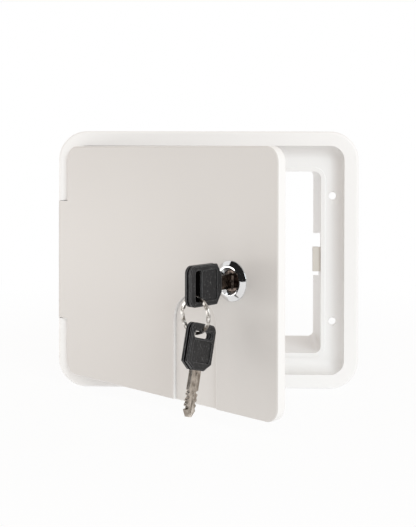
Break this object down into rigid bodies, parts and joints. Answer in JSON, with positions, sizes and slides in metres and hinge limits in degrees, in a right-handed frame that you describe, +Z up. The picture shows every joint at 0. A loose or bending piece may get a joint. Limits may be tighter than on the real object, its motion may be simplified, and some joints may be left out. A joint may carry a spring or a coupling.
{
  "type": "power cord hatch",
  "caption": "White plastic power cord hatch for a caravan wall: rounded frame with a deep collar, side hinged door with an arched cord flap, and a cam lock with its keys on a ring.",
  "frame": {"origin": "the middle of the frame's outline in the plane of the wall, which is also the middle of the four wall screws", "axes": "+X to the right and +Z up as the hatch is seen from outside; -Y points out of the wall to the front, +Y into the wall along the collar"},
  "size_m": [0.1785, 0.1767, 0.1526],
  "materials": {
    "frame_plastic": "satin",
    "door_plastic": "satin",
    "pin_steel": "satin",
    "lock_chrome": "polished",
    "plug_metal": "satin",
    "wafer_brass": "satin",
    "zinc_steel": "satin",
    "key_steel": "satin",
    "key_plastic": "matte",
    "ring_nickel": "polished"
  },
  "bodies": {
    "frame_body": {"frame": "frame_plastic", "hinge_pin_top": "pin_steel", "hinge_pin_bottom": "pin_steel"},
    "door_body": {"door": "door_plastic", "flap_pin": "pin_steel", "lock_housing": "lock_chrome", "lock_washer": "zinc_steel", "lock_nut": "zinc_steel"},
    "flap": {"cord_flap": "door_plastic"},
    "lock_barrel": {"lock_plug": "plug_metal", "stop_washer": "zinc_steel", "lock_cam": "zinc_steel", "cam_washer": "zinc_steel", "cam_nut": "zinc_steel"},
    "wafers": {"lock_wafers": "wafer_brass"},
    "key": {"key_blade": "key_steel", "key_bow_left": "key_plastic", "key_bow_right": "key_plastic"},
    "ring": {"key_ring": "ring_nickel"},
    "spare_key": {"spare_key_blade": "key_steel", "spare_key_bow_left": "key_plastic", "spare_key_bow_right": "key_plastic"}
  },
  "joints": [
    {"name": "door_hinge", "type": "hinge", "parent": "frame_body", "child": "door_body", "pos_m": [-0.0859, -0.0089, 0], "axis": [0, 0, -1], "range_deg": [-41, 64]},
    {"name": "flap_hinge", "type": "hinge", "parent": "door_body", "child": "flap", "pos_m": [-0.00176, -0.08039, -0.00625], "axis": [0.7547, -0.6561, 0], "range_deg": [0, 90]},
    {"name": "lock_turn", "type": "hinge", "parent": "door_body", "child": "lock_barrel", "pos_m": [0.01423, -0.10071, -0.0005], "axis": [0.6561, 0.7547, 0], "range_deg": [0, 90]},
    {"name": "key_pull", "type": "slide", "parent": "lock_barrel", "child": "key", "axis": [-0.6561, -0.7547, 0], "range_m": [0, 0.018]},
    {"name": "wafer_drop", "type": "slide", "parent": "lock_barrel", "child": "wafers", "axis": [0, 0, 1], "range_m": [0, 0.00045]},
    {"name": "ring_hang", "type": "hinge", "parent": "key", "child": "ring", "pos_m": [-0.0029, -0.12041, -0.0091], "axis": [0.6561, 0.7547, 0], "range_deg": [-90, 0]},
    {"name": "spare_swing", "type": "hinge", "parent": "ring", "child": "spare_key", "pos_m": [-0.0029, -0.12041, -0.0231], "axis": [0.7547, -0.6561, 0], "range_deg": [-45, 25]}
  ],
  "couplings": [
    {"joint": "wafer_drop", "follows": "key_pull", "ratio": 0.025},
    {"joint": "ring_hang", "follows": "lock_turn", "ratio": -1}
  ]
}
